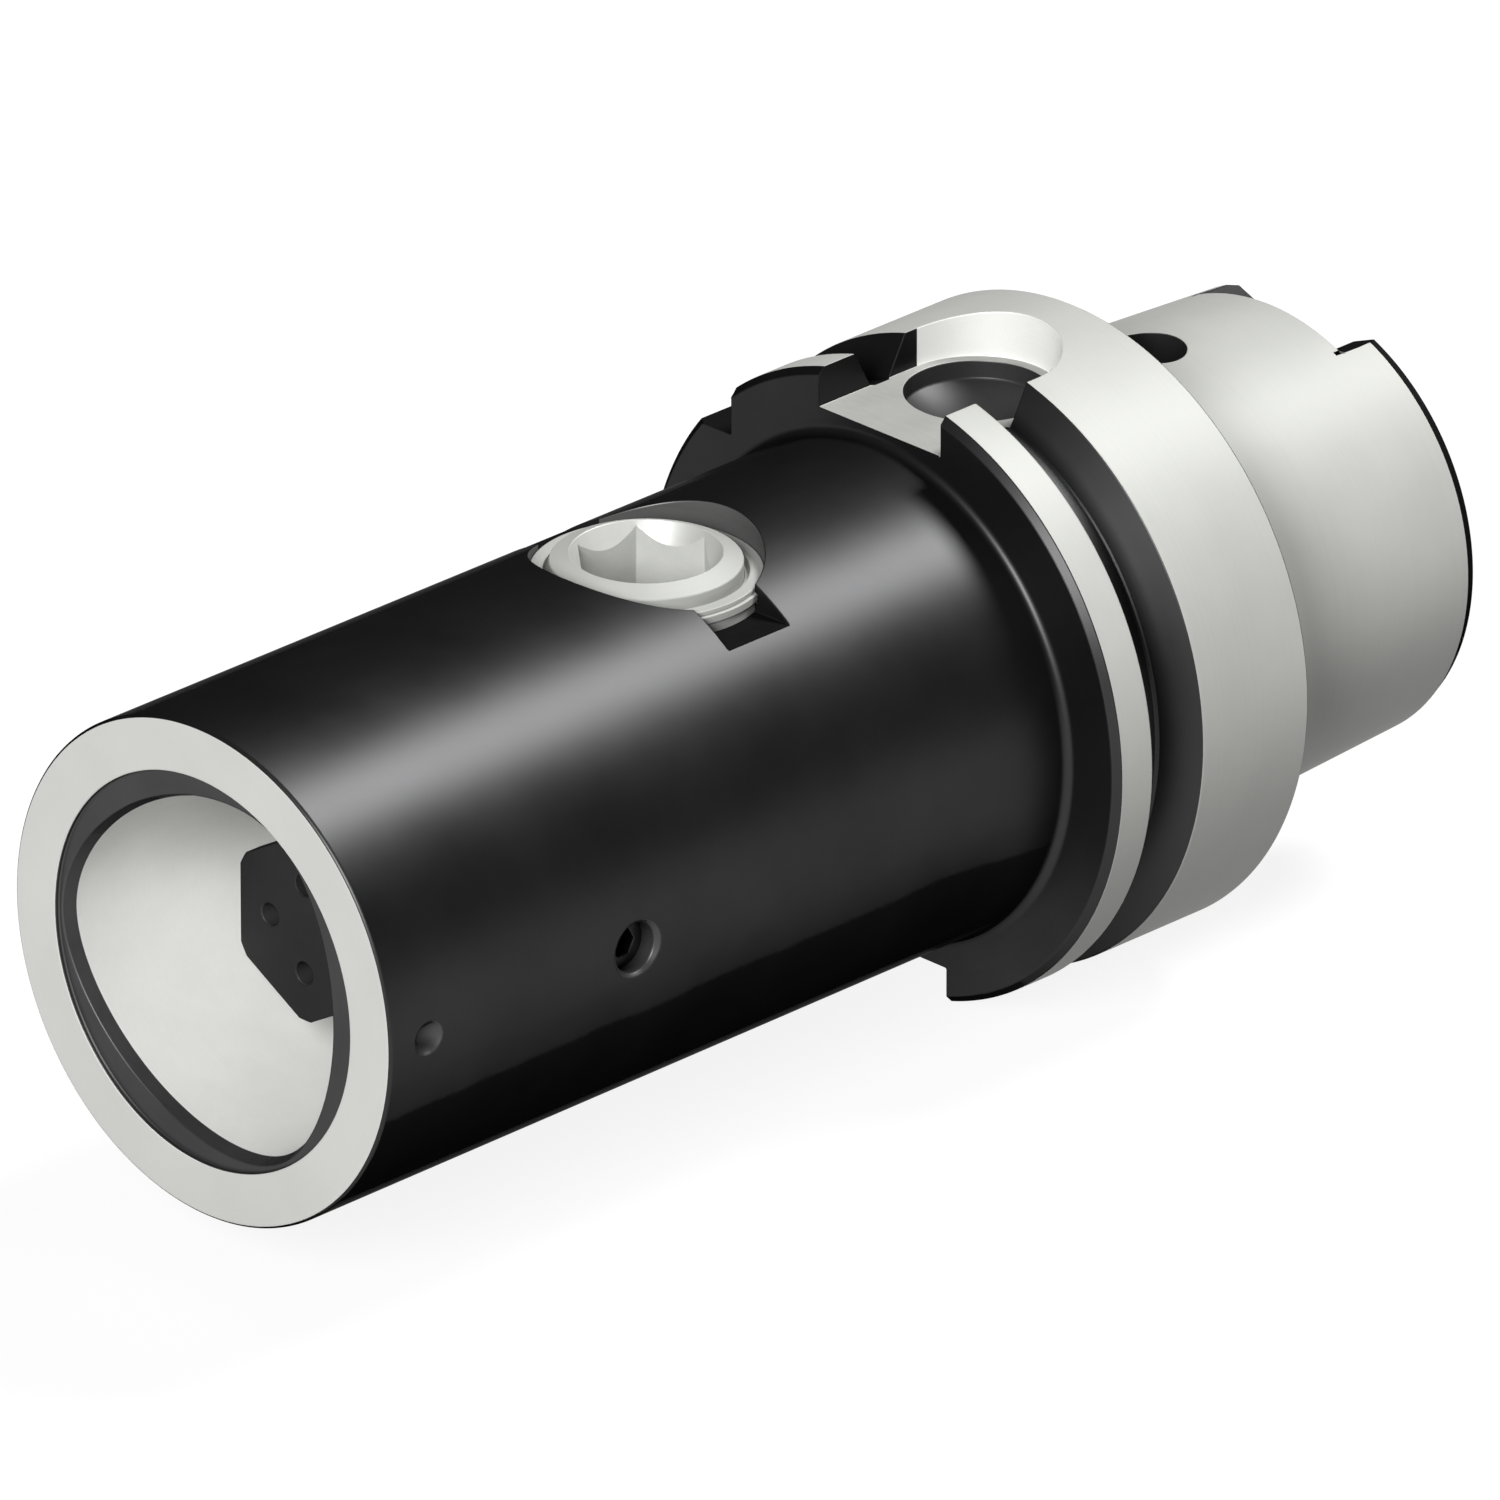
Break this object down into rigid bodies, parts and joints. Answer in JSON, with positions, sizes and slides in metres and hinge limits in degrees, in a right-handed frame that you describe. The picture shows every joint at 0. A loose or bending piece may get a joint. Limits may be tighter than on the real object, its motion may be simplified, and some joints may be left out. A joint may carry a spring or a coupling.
{
  "type": "quick change tool adapter",
  "caption": "Adapter with a hollow taper shank for a machine spindle and a polygon socket that clamps a quick change tool by a cam, a draw bar and hooked segments.",
  "frame": {"origin": "on the tool axis, in the plane of the flange face that meets the spindle", "axes": "+X along the tool axis from the nose to the hollow taper shank, +Z through the cam shaft and the flange slot with the round pocket"},
  "size_m": [0.147, 0.063, 0.063],
  "materials": {
    "blackened_steel": "black oxide, with ground faces left bright",
    "black_oxide_steel": "black oxide",
    "hardened_steel": "turned and hardened",
    "ground_steel": "fine turned, bright",
    "spring_steel": "smooth",
    "seal_rubber": "matt"
  },
  "bodies": {
    "holder": {"adapter_body": "blackened_steel", "cam_bush": "ground_steel", "bush_seal": "seal_rubber", "snap_ring": "spring_steel", "cam_stop_pin": "hardened_steel", "side_screw": "black_oxide_steel", "union_nut": "black_oxide_steel", "union_nut_seal": "seal_rubber", "segment_ring": "seal_rubber"},
    "cam": {"cam_shaft": "ground_steel", "cam_seal": "seal_rubber", "cam_journal_seal": "seal_rubber"},
    "draw_bar_group": {"draw_bar": "hardened_steel", "clamping_cone": "black_oxide_steel", "draw_bar_front_seal": "seal_rubber", "draw_bar_rear_seal": "seal_rubber"},
    "coolant_tube_group": {"coolant_tube": "hardened_steel", "tube_collar_seal": "seal_rubber"},
    "segment_1": {"clamping_segment_1": "hardened_steel"},
    "segment_2": {"clamping_segment_2": "hardened_steel"},
    "segment_3": {"clamping_segment_3": "hardened_steel"},
    "segment_4": {"clamping_segment_4": "hardened_steel"},
    "segment_5": {"clamping_segment_5": "hardened_steel"},
    "segment_6": {"clamping_segment_6": "hardened_steel"}
  },
  "joints": [
    {"name": "cam_turn", "type": "hinge", "parent": "holder", "child": "cam", "pos_m": [-0.05695, 0, 0], "axis": [0, 0, 1], "range_deg": [0, 180]},
    {"name": "draw_bar_slide", "type": "slide", "parent": "holder", "child": "draw_bar_group", "axis": [1, 0, 0], "range_m": [0, 0.0025]},
    {"name": "coolant_tube_tilt", "type": "hinge", "parent": "holder", "child": "coolant_tube_group", "pos_m": [-0.00495, 0, 0], "axis": [0, 1, 0], "range_deg": [-1, 1], "deforming": ["union_nut_seal"]},
    {"name": "segment_1_swing", "type": "hinge", "parent": "holder", "child": "segment_1", "pos_m": [-0.0768, 0.0126, 0], "axis": [0, 0, -1], "range_deg": [0, 3], "deforming": ["segment_ring"]},
    {"name": "segment_2_swing", "type": "hinge", "parent": "holder", "child": "segment_2", "pos_m": [-0.0768, 0.0063, 0.01091], "axis": [0, 0.866, -0.5], "range_deg": [0, 3]},
    {"name": "segment_3_swing", "type": "hinge", "parent": "holder", "child": "segment_3", "pos_m": [-0.0768, -0.0063, 0.01091], "axis": [0, 0.866, 0.5], "range_deg": [0, 3]},
    {"name": "segment_4_swing", "type": "hinge", "parent": "holder", "child": "segment_4", "pos_m": [-0.0768, -0.0126, 0], "axis": [0, 0, 1], "range_deg": [0, 3]},
    {"name": "segment_5_swing", "type": "hinge", "parent": "holder", "child": "segment_5", "pos_m": [-0.0768, -0.0063, -0.01091], "axis": [0, -0.866, 0.5], "range_deg": [0, 3]},
    {"name": "segment_6_swing", "type": "hinge", "parent": "holder", "child": "segment_6", "pos_m": [-0.0768, 0.0063, -0.01091], "axis": [0, -0.866, -0.5], "range_deg": [0, 3]}
  ],
  "couplings": [
    {"joint": "cam_turn", "follows": "draw_bar_slide", "rad_per_m": 1256.6},
    {"joint": "segment_1_swing", "follows": "draw_bar_slide", "rad_per_m": 20.944},
    {"joint": "segment_2_swing", "follows": "draw_bar_slide", "rad_per_m": 20.944},
    {"joint": "segment_3_swing", "follows": "draw_bar_slide", "rad_per_m": 20.944},
    {"joint": "segment_4_swing", "follows": "draw_bar_slide", "rad_per_m": 20.944},
    {"joint": "segment_5_swing", "follows": "draw_bar_slide", "rad_per_m": 20.944},
    {"joint": "segment_6_swing", "follows": "draw_bar_slide", "rad_per_m": 20.944}
  ]
}
